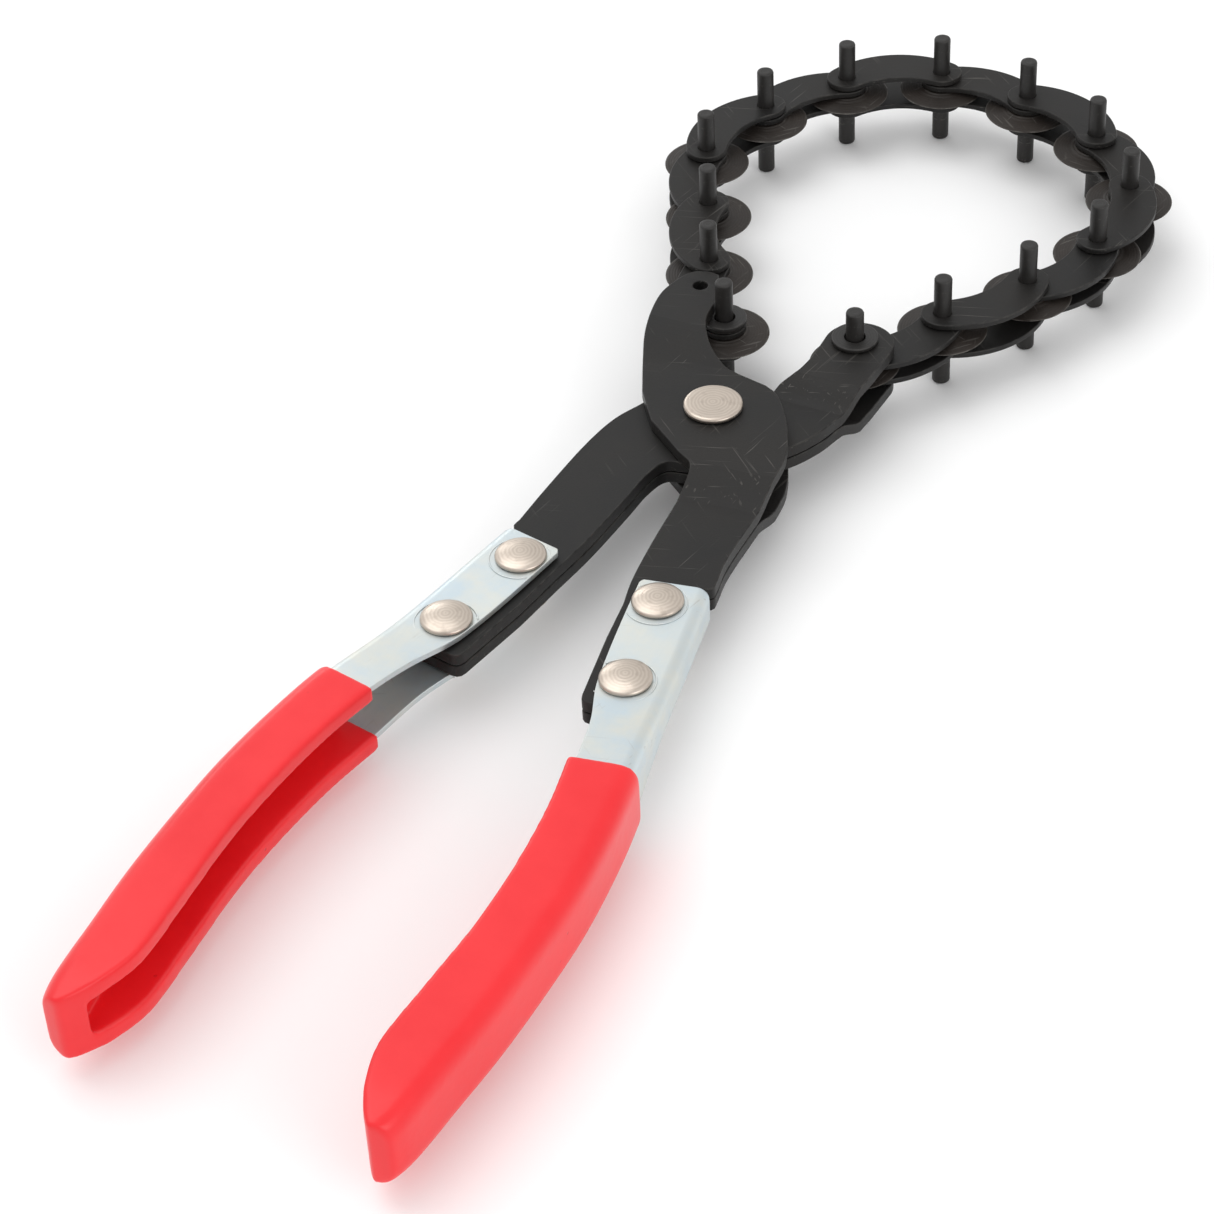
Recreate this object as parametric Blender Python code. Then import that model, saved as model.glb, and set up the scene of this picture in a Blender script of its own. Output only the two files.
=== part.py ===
"""Chain pipe cutter with plier handles.

Two arms turn on one big rivet. A roller chain of cutting wheels is held by the
jaw arm, goes round the pipe and hooks into the notch of the hook arm.
Lengths are in millimetres, measured from the pivot axis at the tool's mid-plane:
+X right, +Y from the handles to the chain, +Z up. ORIGIN moves them to the part's frame.
"""
import math

import bpy
from mathutils import Vector
from mathutils.geometry import delaunay_2d_cdt

MM = 0.001
ORIGIN = (-4.6, 24.4, 13.2)      # the pivot in the part's frame, origin under the middle
GAP = 0.3                        # clearance between neighbouring pieces

# chain
PITCH = 22.0
HOOKED_PIN = (-11.6, 31.6)       # pin 1, which lies in the notch of the hook arm
FIRST_HEADING = 122.8            # from pin 1 to pin 2, degrees from +X
TURNS = (-8.2, 0.6, -39.1, -21.6, -26.9, -33.3, -19.6, -26.2, -37.7, -23.8, -11.0, -0.6)
PIN_RADIUS = 1.9
PIN_HALF_LENGTH = 13.2
PIN_HOLE = PIN_RADIUS + GAP
PIN_SIDES = 12
WHEEL_RADIUS = 9.5
HUB_RADIUS = 4.7
HUB_HALF = 1.0
WHEEL_SIDES = 20
LINK_END = 4.6                   # radius of a link plate round each pin
LINK_CREST = 8.7                 # height of the outer edge above the pin line
LINK_DIP = -1.6                  # height of the hollow inner edge
INNER_PLATE = (1.3, 2.6)
OUTER_PLATE = (2.95, 4.25)
HOOKED_WASHER = (2.95, 4.3, 4.7)  # from, to, radius
JAW_WASHER = (6.0, 6.9, 4.9)

# arms: each is a pair of plates, mirrored about the mid-plane
PLATE = 2.6
LOW_LEVEL = 0.15                 # underside of a plate that lies next to its twin
MID_LEVEL = 3.05                 # underside of the hook arm where it holds the jaw arm
JAW_RISE = 2.95
NOSE_RISE = 1.65
PIVOT_RADIUS = 4.0
PIVOT_HEAD = (5.95, 7.2, 6.1)    # from, to, radius

# handles: channels of bent sheet on the tangs of the arms
SHEET = 1.3
SKIN = 1.0                       # thickness of the vinyl
FRONT = -6.0                     # front edge of the channel, before the front rivet
GRIP_FRONT = 48.0
NOSE = 137.7                     # rear end of the metal
RIVET_SPACING = 22.7
RIVET_RADIUS = 2.6
RIVET_HEAD = (4.85, 6.2, 5.1)
LEFT = ((-15.6, -56.5), 191.95, -1)   # front rivet, direction from +Y, side of the web
RIGHT = ((14.7, -58.6), 170.4, 1)

# web and open edge of the metal channel, and its half height, along the handle
WEB = ((FRONT, 8.5), (-5, 8.8), (36, 8.5), (48, 8.6), (62, 8.3), (78, 6.9), (92, 4.5),
       (108, 1.1), (122, -2.7), (130, -5.0), (135, -6.7), (NOSE, -8.2))
OPEN_EDGE = ((FRONT, -4.4), (-5, -5.1), (24, -5.1), (36, -3.0), (48, -2.3), (62, -2.2),
             (78, -3.6), (92, -5.9), (108, -9.9), (122, -13.2), (130, -12.6),
             (135, -11.0), (NOSE, -9.5))
HALF_HEIGHT = ((FRONT, 4.55), (27, 4.55), (48, 6.6), (62, 6.7), (130, 6.7), (NOSE, 6.2))
STATIONS = (FRONT, -5, 15, 27, 36, 48, 62, 78, 92, 108, 122, 130, 135, 136.5, NOSE)
NOSE_STARTS = 122                # behind this the web curls round the end
BEND = 2.4                       # outside radius of the bend between web and flange
SHARPEST = 0.4                   # least radius of that bend inside a channel
SIDEWAYS = 8                     # how far a hollow runs out of the open side
NARROWEST = 1.2                  # a slot ends where it would be narrower than this
CUTTER_LEAD = 2                  # how far a hollow starts before the channel

COLOURS = {                      # base colour, metallic, roughness
    "black_steel": ((0.050, 0.049, 0.048), 0.9, 0.42),
    "wheel_steel": ((0.075, 0.070, 0.066), 0.9, 0.38),
    "zinc": ((0.55, 0.60, 0.62), 1.0, 0.34),
    "rivet_steel": ((0.62, 0.54, 0.47), 1.0, 0.36),
    "red_vinyl": ((0.80, 0.045, 0.050), 0.0, 0.36),
}


def clear_scene():
    for item in list(bpy.data.objects):
        bpy.data.objects.remove(item)


def material(kind):
    """The Principled material of this kind, made once."""
    found = bpy.data.materials.get(kind)
    if found:
        return found
    colour, metallic, roughness = COLOURS[kind]
    made = bpy.data.materials.new(kind)
    made.use_nodes = True
    shader = made.node_tree.nodes["Principled BSDF"]
    shader.inputs["Base Color"].default_value = (*colour, 1)
    shader.inputs["Metallic"].default_value = metallic
    shader.inputs["Roughness"].default_value = roughness
    return made


def make_object(name, points, faces, kind, at=(0, 0), smooth=False):
    """A mesh object with its origin on the vertical axis through at."""
    base = Vector((*at, 0))
    mesh = bpy.data.meshes.new(name)
    mesh.from_pydata([(Vector(p) - base) * MM for p in points], [], faces)
    mesh.materials.append(material(kind))
    if smooth:
        mesh.shade_smooth()
        mesh.set_sharp_from_angle(angle=math.radians(32))
    item = bpy.data.objects.new(name, mesh)
    item.location = (base + Vector(ORIGIN)) * MM
    bpy.context.collection.objects.link(item)
    return item


# outlines ---------------------------------------------------------------------

def polar(centre, radius, angle):
    return (centre[0] + radius * math.cos(angle), centre[1] + radius * math.sin(angle))


def arc(centre, radius, start, end, steps):
    """Points along an arc, in degrees, both ends included."""
    return [polar(centre, radius, math.radians(start + (end - start) * i / steps))
            for i in range(steps + 1)]


def circle(centre, radius, sides):
    return arc(centre, radius, 0, 360, sides)[:-1]


def curve(points, steps=3):
    """A smooth run through the points (Catmull-Rom), both ends included."""
    points = [Vector(p) for p in points]
    padded = [2 * points[0] - points[1], *points, 2 * points[-1] - points[-2]]
    run = []
    for a, b, c, d in zip(padded, padded[1:], padded[2:], padded[3:]):
        for i in range(steps):
            t = i / steps
            run.append(0.5 * ((2 * b) + (c - a) * t + (2 * a - 5 * b + 4 * c - d) * t**2
                              + (3 * b - a - 3 * c + d) * t**3))
    return [tuple(p) for p in run + [points[-1]]]


def between(table, u):
    """The value at u, on straight runs between the pairs of the table."""
    for (u0, v0), (u1, v1) in zip(table, table[1:]):
        if u <= u1:
            return v0 + (v1 - v0) * (u - u0) / (u1 - u0)
    return table[-1][1]


# flat pieces --------------------------------------------------------------------

def fold_height(point, folds):
    """How far the folds lift a point: each rises from its first line to its second."""
    height = 0
    for first, second, rise in folds:
        to_first, to_second = (side_of(point, line) for line in (first, second))
        height += rise * min(max(to_first / (to_first - to_second), 0), 1)
    return height


def side_of(point, line):
    """Signed distance of a point from a line given by two points, left is positive."""
    a, b = Vector(line[0]), Vector(line[1])
    along = (b - a).normalized()
    away = Vector(point) - a
    return along.x * away.y - along.y * away.x


def flat_mesh(outline, holes, levels, folds=(), pins=(), sides=1):
    """A plate between two levels, with holes, folded along lines, with pins standing in it.

    A pin is a ring of points that reaches through the plate at both sides.
    """
    rings = [outline] + [*holes, *pins]
    coords, edges = [], []
    for ring in rings:
        first = len(coords)
        coords += [Vector(p) for p in ring]
        edges += [(first + i, first + (i + 1) % len(ring)) for i in range(len(ring))]
    for fold in folds:
        for line in fold[:2]:
            coords += [Vector(p) for p in line]
            edges.append((len(coords) - 2, len(coords) - 1))
    flat, _, triangles, _, _, _ = delaunay_2d_cdt(coords, edges, [], 0, 1e-5)
    triangles = [tuple(t) for t in triangles if in_plate(centre_of([flat[i] for i in t]), rings)]
    used = sorted({i for t in triangles for i in t})
    place = {old: new for new, old in enumerate(used)}
    triangles = [tuple(place[i] for i in t) for t in triangles]
    flat = [flat[i] for i in used]
    count = len(flat)
    lift = [fold_height(p, folds) for p in flat]
    points = [(p.x, p.y, sides * (level + h)) for level in levels for p, h in zip(flat, lift)]
    faces = [t[::-1] for t in triangles] + [tuple(i + count for i in t) for t in triangles]
    rim = edge_pairs(triangles)
    pin_points = {find(flat, p) for pin in pins for p in pin}
    faces += [(a, b, b + count, a + count) for a, b in rim if a not in pin_points]
    for pin in pins:
        stand_pin(points, faces, [find(flat, p) for p in pin], count, centre_of(pin))
    if sides < 0:
        faces = [f[::-1] for f in faces]
    return points, faces


def in_plate(point, rings):
    """Whether a point lies inside an odd number of rings, so on the plate and in no hole."""
    x, y = point
    crossed = 0
    for ring in rings:
        for (x0, y0), (x1, y1) in zip(ring, ring[1:] + ring[:1]):
            if (y0 > y) != (y1 > y) and x < x0 + (x1 - x0) * (y - y0) / (y1 - y0):
                crossed += 1
    return crossed % 2


def centre_of(ring):
    return tuple(sum(values) / len(ring) for values in zip(*ring))


def find(flat, point):
    """The index of the point of the plate that lies at this place."""
    target = Vector(point)
    return min(range(len(flat)), key=lambda i: (flat[i] - target).length_squared)


def edge_pairs(triangles):
    """The edges that only one triangle has, in that triangle's direction."""
    pairs = {(a, b) for t in triangles for a, b in zip(t, t[1:] + t[:1])}
    return [(a, b) for a, b in sorted(pairs) if (b, a) not in pairs]


def stand_pin(points, faces, ring, count, centre):
    """Grow a chamfered pin from both faces of the plate, on a ring of its points."""
    n = len(ring)
    for shift, end in ((0, -PIN_HALF_LENGTH), (count, PIN_HALF_LENGTH)):
        inner = end - math.copysign(0.5, end)
        rows = [[i + shift for i in ring]]
        for level, radius in ((inner, PIN_RADIUS), (end, PIN_RADIUS - 0.5)):
            rows.append(range(len(points), len(points) + n))
            points += [(*p, level) for p in circle(centre, radius, n)]
        for low, high in zip(rows, rows[1:]):
            for i in range(n):
                j = (i + 1) % n
                quad = (low[i], low[j], high[j], high[i])
                faces.append(quad if end > 0 else quad[::-1])
        cap = tuple(rows[-1])
        faces.append(cap if end > 0 else cap[::-1])


# turned pieces ------------------------------------------------------------------

def turned_mesh(profile, centre, sides):
    """Turn a closed (radius, height) loop, or one that starts and ends on the axis."""
    points, faces, rows = [], [], []
    for radius, height in profile:
        if radius:
            rows.append(list(range(len(points), len(points) + sides)))
            points += [(*p, height) for p in circle(centre, radius, sides)]
        else:
            rows.append([len(points)] * sides)
            points.append((*centre, height))
    closed = profile[0][0] > 0
    for low, high in zip(rows, rows[1:] + (rows[:1] if closed else [])):
        for i in range(sides):
            j = (i + 1) % sides
            corners = (low[i], low[j], high[j], high[i])
            faces.append(tuple(dict.fromkeys(corners)))
    return points, faces


def make_turned(name, profile, centre, sides, kind):
    points, faces = turned_mesh(profile, centre, sides)
    return make_object(name, points, faces, kind, centre, smooth=True)


def make_ring(name, centre, levels, radii, kind, sides=WHEEL_SIDES):
    (low, high), (inner, outer) = levels, radii
    profile = [(inner, high), (inner, low), (outer, low), (outer, high)]
    return make_turned(name, profile, centre, sides, kind)


# chain --------------------------------------------------------------------------

def chain_pins():
    """The places of the pins, from the hooked one to the one in the jaw."""
    pins, heading = [HOOKED_PIN], FIRST_HEADING
    for turn in (*TURNS, 0):
        pins.append(polar(pins[-1], PITCH, math.radians(heading)))
        heading += turn
    return pins


PINS = chain_pins()


def link_outline():
    """A kidney plate on pins at 0 and PITCH: round ends, high outer and hollow inner edge."""
    half = PITCH / 2
    crest = (half**2 + LINK_CREST**2 - LINK_END**2) / (2 * (LINK_CREST - LINK_END))
    dip = (half**2 + LINK_DIP**2 - LINK_END**2) / (2 * (LINK_END + LINK_DIP))
    crest_at, dip_at = (half, LINK_CREST - crest), (half, LINK_DIP - dip)
    up = math.degrees(math.atan2(-crest_at[1], -half))      # crest centre to pin 0
    down = math.degrees(math.atan2(-dip_at[1], -half))      # dip centre to pin 0
    outline = arc((0, 0), LINK_END, up, down + 180, 6)
    outline += arc(dip_at, dip, down, 180 - down, 5)[1:-1]
    outline += arc((PITCH, 0), LINK_END, -down, 180 - up, 6)
    outline += arc(crest_at, crest, 180 - up, up, 6)[1:-1]
    return outline


def on_link(outline, start, end):
    """Lay a link outline from pin start to pin end."""
    along = (Vector(end) - Vector(start)).normalized()
    left = Vector((-along.y, along.x))
    return [tuple(Vector(start) + along * x + left * y) for x, y in outline]


def make_link(index):
    """The two plates between pins index and index + 1; an outer link holds both pins."""
    start, end = PINS[index - 1], PINS[index]
    outline = on_link(link_outline(), start, end)
    label = f"link_{index:02d}_{index + 1:02d}"
    if index % 2:
        levels, lower_name, pins = INNER_PLATE, f"{label}_plate_lower", ()
    else:
        levels, lower_name = OUTER_PLATE, f"{label}_plate_lower_with_pins"
        pins = [circle(p, PIN_RADIUS, PIN_SIDES) for p in (start, end)]
    holes = [circle(p, PIN_HOLE, PIN_SIDES) for p in (start, end)]
    points, faces = flat_mesh(outline, holes, levels)
    make_object(f"{label}_plate_upper", points, faces, "black_steel", end, smooth=True)
    lower = (-levels[1], -levels[0])
    points, faces = flat_mesh(outline, () if pins else holes, lower, pins=pins)
    make_object(lower_name, points, faces, "black_steel", end, smooth=True)


def make_wheel(index):
    profile = [(PIN_HOLE, HUB_HALF), (PIN_HOLE, -HUB_HALF), (HUB_RADIUS, -HUB_HALF),
               (HUB_RADIUS + 0.3, -HUB_HALF + 0.25), (WHEEL_RADIUS, 0),
               (HUB_RADIUS + 0.3, HUB_HALF - 0.25), (HUB_RADIUS, HUB_HALF)]
    make_turned(f"cutting_wheel_{index:02d}", profile, PINS[index - 1], WHEEL_SIDES, "wheel_steel")


def make_end_pin(name, centre, washer):
    """A loose pin with a washer at each side."""
    end, chamfer = PIN_HALF_LENGTH, 0.5
    half = [(PIN_RADIUS, end - chamfer), (PIN_RADIUS - chamfer, end), (0, end)]
    profile = [(0, -end)] + [(r, -z) for r, z in half[1::-1]] + half
    make_turned(name, profile, centre, PIN_SIDES, "black_steel")
    low, high, radius = washer
    for side, levels in (("upper", (low, high)), ("lower", (-high, -low))):
        make_ring(f"{name}_washer_{side}", centre, levels, (PIN_HOLE, radius), "black_steel")


def make_chain():
    for index in range(1, len(PINS)):
        make_link(index)
    for index in range(1, len(PINS) + 1):
        make_wheel(index)
    make_end_pin("chain_pin_01", PINS[0], HOOKED_WASHER)
    make_end_pin("chain_pin_14", PINS[-1], JAW_WASHER)


# arms ---------------------------------------------------------------------------

def along_handle(handle, u, v):
    """A point on a handle: u behind its front rivet, v towards its web."""
    (x, y), heading, side = handle
    angle = math.radians(heading)
    back = Vector((math.sin(angle), math.cos(angle)))
    out = Vector((-back.y, back.x)) * side
    return tuple(Vector((x, y)) + back * u + out * v)


def tang_outline(handle):
    """The narrow rear of an arm, from its outer shoulder round to its inner edge."""
    corners = [(-8.0, 8.4), (-7.6, 6.8), (25.6, 6.8), (27.8, 5.6), (28.7, 3.2),
               (28.7, -4.6), (28.1, -6.6), (26.6, -7.4), (10.0, -7.4)]
    shoulder = [(-9.5, 8.9), (-8.4, 8.8)]
    return [along_handle(handle, u, v) for u, v in shoulder + corners]


def jaw_arm_outline():
    outer = curve([(-6.4, 11.0), (-12.0, 7.6), (-16.0, -1.0), (-19.0, -8.0), (-20.7, -18.0),
                   (-21.7, -33.0), along_handle(LEFT, -10.5, 8.9)])
    inner = curve([(-8.5, -55.0), (-6.8, -44.0), (-5.5, -30.0), (-4.9, -22.0),
                   (-3.2, -16.7), (1.0, -15.4)])
    right = curve([(8.0, -14.6), (17.4, -3.7), (21.4, 3.3), (23.2, 9.0), (24.8, 15.0),
                   (25.7, 22.0)])
    end = arc((19.0, 31.7), 7.3, 0, 180, 9)
    left = curve([(11.8, 24.0), (10.8, 18.0), (8.6, 14.4), (7.3, 11.8), (3.5, 10.6)])
    return outer + tang_outline(LEFT) + inner + right + end + left


def hook_arm_outline():
    nose_top = curve([(-17.2, 41.3), (-20.0, 41.5), (-23.2, 39.7), (-25.4, 34.0),
                      (-25.7, 28.0), (-23.7, 18.2), (-20.5, 10.0), (-16.0, 0.0)])
    inner = curve([(-10.0, -8.5), (-1.0, -15.5), (3.4, -19.0), (4.2, -27.0), (5.0, -40.0),
                   (6.2, -52.0), along_handle(RIGHT, 0.0, -7.0)])
    outer = curve([along_handle(RIGHT, -10.5, 8.9), (20.7, -38.0), (20.6, -15.0), (19.0, -6.0),
                   (15.0, 2.5), (10.5, 8.8), (7.0, 11.0)])
    gullet = curve([(0.0, 12.6), (-3.8, 14.0), (-9.3, 18.9), (-13.0, 25.5), (-13.9, 31.6),
                    (-15.7, 37.0)])
    return nose_top + inner + tang_outline(RIGHT)[::-1] + outer + gullet


JAW_FOLD = (((30, 11.0), (0, 11.0)), ((30, 17.5), (0, 17.5)), JAW_RISE)
NOSE_FOLD = (((-4.6, 12.6), (-30, 6.1)), ((0, 22.7), (-30, 22.7)), NOSE_RISE)
TANG_FOLD = (((2, -19.2), (24, -15.6)), ((2, -27.7), (24, -24.1)), LOW_LEVEL - MID_LEVEL)


def make_arm(name, outline, holes, level, folds):
    """Two plates, mirrored about the mid-plane."""
    for label, side in (("upper", 1), ("lower", -1)):
        points, faces = flat_mesh(outline, holes, (level, level + PLATE), folds, sides=side)
        make_object(f"{name}_plate_{label}", points, faces, "black_steel", smooth=True)


def rivet_places(handle):
    return [along_handle(handle, u, 0) for u in (0, RIVET_SPACING)]


def rivet_holes(handle):
    return [circle(p, RIVET_RADIUS + GAP, 16) for p in rivet_places(handle)]


def make_arms():
    pivot_hole = circle((0, 0), PIVOT_RADIUS + GAP, 24)
    jaw_holes = [pivot_hole, circle(PINS[-1], PIN_HOLE, 16), *rivet_holes(LEFT)]
    make_arm("jaw_arm", jaw_arm_outline(), jaw_holes, LOW_LEVEL, [JAW_FOLD])
    hook_holes = [pivot_hole, circle((-19.2, 36.2), 1.6, 12), *rivet_holes(RIGHT)]
    make_arm("hook_arm", hook_arm_outline(), hook_holes, MID_LEVEL, [NOSE_FOLD, TANG_FOLD])
    low, high, radius = PIVOT_HEAD
    half = [(PIVOT_RADIUS, low), (radius, low), (radius, high - 0.35), (radius - 0.4, high), (0, high)]
    profile = [(r, -z) for r, z in half[::-1]] + half
    make_turned("pivot_rivet", profile, (0, 0), 24, "rivet_steel")


# handles ------------------------------------------------------------------------

def section(handle, station, grow, opened):
    """One cross section of a channel's envelope, or of its hollow when it is opened.

    grow moves every face out. An opened section runs out of the open side of the
    channel. Where the web curls round the nose, grow also moves the section along.
    """
    web, edge, half = (between(table, station) for table in (WEB, OPEN_EDGE, HALF_HEIGHT))
    curl = min(max((station - NOSE_STARTS) / (NOSE - NOSE_STARTS), 0), 1)
    web, half, edge, u = web + grow, half + grow, edge - grow, station + grow * curl
    if opened:
        edge -= SIDEWAYS
    elif web - edge < NARROWEST:
        return []
    bend = min(max(BEND + grow, SHARPEST), web - edge - SHARPEST / 2)
    corner = arc((web - bend, half - bend), bend, 90, 0, 3)
    profile = [(edge, half), *corner]
    profile += [(v, -z) for v, z in profile[::-1]]
    return [(*along_handle(handle, u, v), z) for v, z in profile]


def loft(name, handle, first, grow, kind, opened=False):
    """The envelope of a channel from its first station to the nose, or its hollow.

    A hollow stops at the last station but one, and so leaves the wall of the nose.
    """
    stations = [first, *(u for u in STATIONS if u > first)]
    if opened:
        stations = stations[:-1]
    rings = [section(handle, station, grow, opened) for station in stations]
    rings = [ring for ring in rings if ring]
    if opened:
        rings[0] = [(*before(p, q, CUTTER_LEAD), p[2]) for p, q in zip(rings[0], rings[1])]
    n = len(rings[0])
    points = [p for ring in rings for p in ring]
    faces = [tuple(range(n))[::-1], tuple(range(len(points) - n, len(points)))]
    for row in range(len(rings) - 1):
        for i in range(n):
            j = (i + 1) % n
            a, b = row * n + i, row * n + j
            faces.append((a, b, b + n, a + n))
    if handle[2] > 0:
        faces = [f[::-1] for f in faces]
    return make_object(name, points, faces, kind)


def before(p, q, lead):
    """The flat point that lies this far before p on the line from q."""
    start, end = Vector(p[:2]), Vector(q[:2])
    return start - lead * (end - start).normalized()


def cut(item, cutter):
    """Subtract a cutter, which stays in the scene as a hidden wire shape."""
    cutter.hide_render = True
    cutter.display_type = "WIRE"
    change = item.modifiers.new(cutter.name, "BOOLEAN")
    change.operation = "DIFFERENCE"
    change.solver = "EXACT"
    change.object = cutter
    return item


def weld(item):
    """Join the doubled points that cutting leaves."""
    join = item.modifiers.new("weld", "WELD")
    join.merge_threshold = 0.000002


def rivet_cutter(name, handle):
    """Two plain rods that drill the rivet holes through both flanges."""
    points, faces = [], []
    for place in rivet_places(handle):
        rod = [(0, -9), (RIVET_RADIUS + GAP, -9), (RIVET_RADIUS + GAP, 9), (0, 9)]
        more_points, more_faces = turned_mesh(rod, place, 16)
        faces += [tuple(i + len(points) for i in f) for f in more_faces]
        points += more_points
    return make_object(name, points, faces, "zinc")


def make_handle(label, handle):
    """The sheet channel, its vinyl grip and the two rivets that hold it on the tang."""
    metal = loft(f"{label}_handle", handle, FRONT, 0, "zinc")
    cut(metal, loft(f"{label}_channel_cutter", handle, FRONT, -SHEET, "zinc", opened=True))
    cut(metal, rivet_cutter(f"{label}_rivet_cutter", handle))
    weld(metal)
    grip = loft(f"{label}_grip", handle, GRIP_FRONT, GAP + SKIN, "red_vinyl")
    slot = loft(f"{label}_slot_cutter", handle, GRIP_FRONT - 4, GAP, "red_vinyl")
    core = loft(f"{label}_core_cutter", handle, GRIP_FRONT - 6, -SHEET - GAP, "red_vinyl", opened=True)
    cut(grip, cut(slot, core))
    cut(grip, loft(f"{label}_hollow_cutter", handle, GRIP_FRONT - 4, -SHEET - GAP - SKIN,
                   "red_vinyl", opened=True))
    weld(grip)
    low, high, radius = RIVET_HEAD
    dome = high - low - 0.5
    half = [(RIVET_RADIUS, low), (radius, low), (radius, low + 0.5),
            (radius * 0.72, low + 0.5 + dome * 0.6), (0, high)]
    profile = [(r, -z) for r, z in half[::-1]] + half
    for place, where in zip(rivet_places(handle), ("front", "rear")):
        make_turned(f"{label}_rivet_{where}", profile, place, 16, "rivet_steel")


def main():
    clear_scene()
    make_chain()
    make_arms()
    make_handle("left", LEFT)
    make_handle("right", RIGHT)


main()
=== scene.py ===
# %% [markdown]
# # A chain pipe cutter with plier handles
#
# This tool cuts exhaust pipes. A roller chain carries fourteen sharp wheels. One
# end of the chain is held in a jaw, the other hooks into a notch, and squeezing the
# two red handles pulls the wheels into the pipe. Here every piece of it is made
# again with round edges, true bends and worked metal, on the places of the CAD
# model. The first cell loads that model and keeps its box, because the finished
# pieces have to stay inside it.

# %% Load the frame
import math

import bmesh
import bpy
from mathutils import Matrix, Vector


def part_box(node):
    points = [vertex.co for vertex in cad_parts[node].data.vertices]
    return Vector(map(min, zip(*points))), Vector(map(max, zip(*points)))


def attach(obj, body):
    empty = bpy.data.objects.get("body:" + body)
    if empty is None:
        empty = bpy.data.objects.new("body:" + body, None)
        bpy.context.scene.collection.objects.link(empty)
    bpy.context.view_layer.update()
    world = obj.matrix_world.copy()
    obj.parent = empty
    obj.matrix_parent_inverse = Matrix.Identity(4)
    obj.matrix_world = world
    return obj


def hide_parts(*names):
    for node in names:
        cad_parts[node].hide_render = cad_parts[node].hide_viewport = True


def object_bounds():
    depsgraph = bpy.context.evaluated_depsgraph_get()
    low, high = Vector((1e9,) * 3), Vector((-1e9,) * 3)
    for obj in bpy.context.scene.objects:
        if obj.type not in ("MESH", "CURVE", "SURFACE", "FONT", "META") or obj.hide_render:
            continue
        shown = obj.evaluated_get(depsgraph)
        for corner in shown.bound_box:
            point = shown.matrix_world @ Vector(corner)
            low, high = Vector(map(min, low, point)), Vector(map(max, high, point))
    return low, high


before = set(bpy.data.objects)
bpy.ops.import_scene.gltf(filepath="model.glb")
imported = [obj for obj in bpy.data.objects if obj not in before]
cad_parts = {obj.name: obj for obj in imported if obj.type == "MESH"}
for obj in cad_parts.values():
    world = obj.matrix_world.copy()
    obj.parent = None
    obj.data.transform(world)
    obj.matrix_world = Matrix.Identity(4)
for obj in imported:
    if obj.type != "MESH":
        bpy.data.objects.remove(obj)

cad_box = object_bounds()

# %% [markdown]
# ## Where things are
#
# The lengths below are in millimetres, as a toolmaker gives them, and Blender works
# in metres, so one constant turns one into the other. The axis of each wheel, rivet
# and pin is read from the CAD model's boxes. It could be typed in again, but then
# the two models could drift apart.

# %% Read the axes of the pivot, the pins and the rivets
MM = 0.001


def middle(node):
    low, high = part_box(node)
    return (low + high) / 2


WHEELS = 14
PIVOT = middle("pivot_rivet")
PINS = [middle(f"cutting_wheel_{i:02d}") for i in range(1, WHEELS + 1)]
PITCH = (PINS[1] - PINS[0]).length / MM
print(f"pivot at {PIVOT[:]}, chain pitch {PITCH:.2f} mm")

# %% [markdown]
# ## Camera, light and floor
#
# The tool lies flat and is seen from above its handles with a long lens, which
# keeps its two halves in proportion. A white world fills the shadows, one wide
# lamp high on the left gives them a direction, a small one behind the chain draws
# light along the pins, and a weak one on the right lifts the sides of the grips.
# The standard view keeps their red pure.

# %% Stand the camera and the lamps
AZIMUTH, ELEVATION, ROLL = 27.6, 40.43, -3.195
LENS, SENSOR = 100.35, 36       # mm
WORLD_STRENGTH = 0.90
CAMERA_AT = PIVOT + Vector((233.6, -498.3, 422.4)) * MM


def turn(degrees, axis):
    return Matrix.Rotation(math.radians(degrees), 4, axis)


camera = bpy.data.objects.new("camera", bpy.data.cameras.new("camera"))
camera.data.lens = LENS
camera.data.sensor_width = SENSOR
camera.matrix_world = (Matrix.Translation(CAMERA_AT) @ turn(AZIMUTH, "Z")
                       @ turn(90 - ELEVATION, "X") @ turn(ROLL, "Z"))
bpy.context.collection.objects.link(camera)
bpy.context.scene.camera = camera
bpy.context.scene.view_settings.view_transform = "Standard"


def area_light(name, place, aim, size, watts):
    """A white soft box at place, in metres, that faces aim."""
    lamp = bpy.data.lights.new(name, "AREA")
    lamp.shape = "RECTANGLE"
    lamp.size, lamp.size_y = size
    lamp.energy = watts
    item = bpy.data.objects.new(name, lamp)
    item.location = place
    sight = Vector(aim) - Vector(place)
    item.rotation_euler = sight.to_track_quat("-Z", "Y").to_euler()
    bpy.context.collection.objects.link(item)


area_light("key", (-0.50, 0.05, 1.25), (0, 0, 0), (1.1, 1.1), 5.5)
area_light("rim", (-0.9, 0.9, 0.5), (0, 0.1, 0), (0.5, 0.3), 1.2)
area_light("fill", (0.8, -0.35, 0.45), (0, 0, 0), (0.6, 0.5), 1.8)
world = bpy.data.worlds.new("studio")
bpy.context.scene.world = world
world.use_nodes = True
background = world.node_tree.nodes["Background"]
background.inputs["Color"].default_value = (1, 1, 1, 1)
background.inputs["Strength"].default_value = WORLD_STRENGTH
print("camera distance:", round((CAMERA_AT - PIVOT).length, 3), "m")

# %% [markdown]
# ## A short way to write nodes
#
# A material is a tree of nodes. Clicking them together is quick once, but a helper
# that adds a node, sets its values and links its inputs keeps each tree readable
# as a list from the surface's pattern down to its shader.

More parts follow.
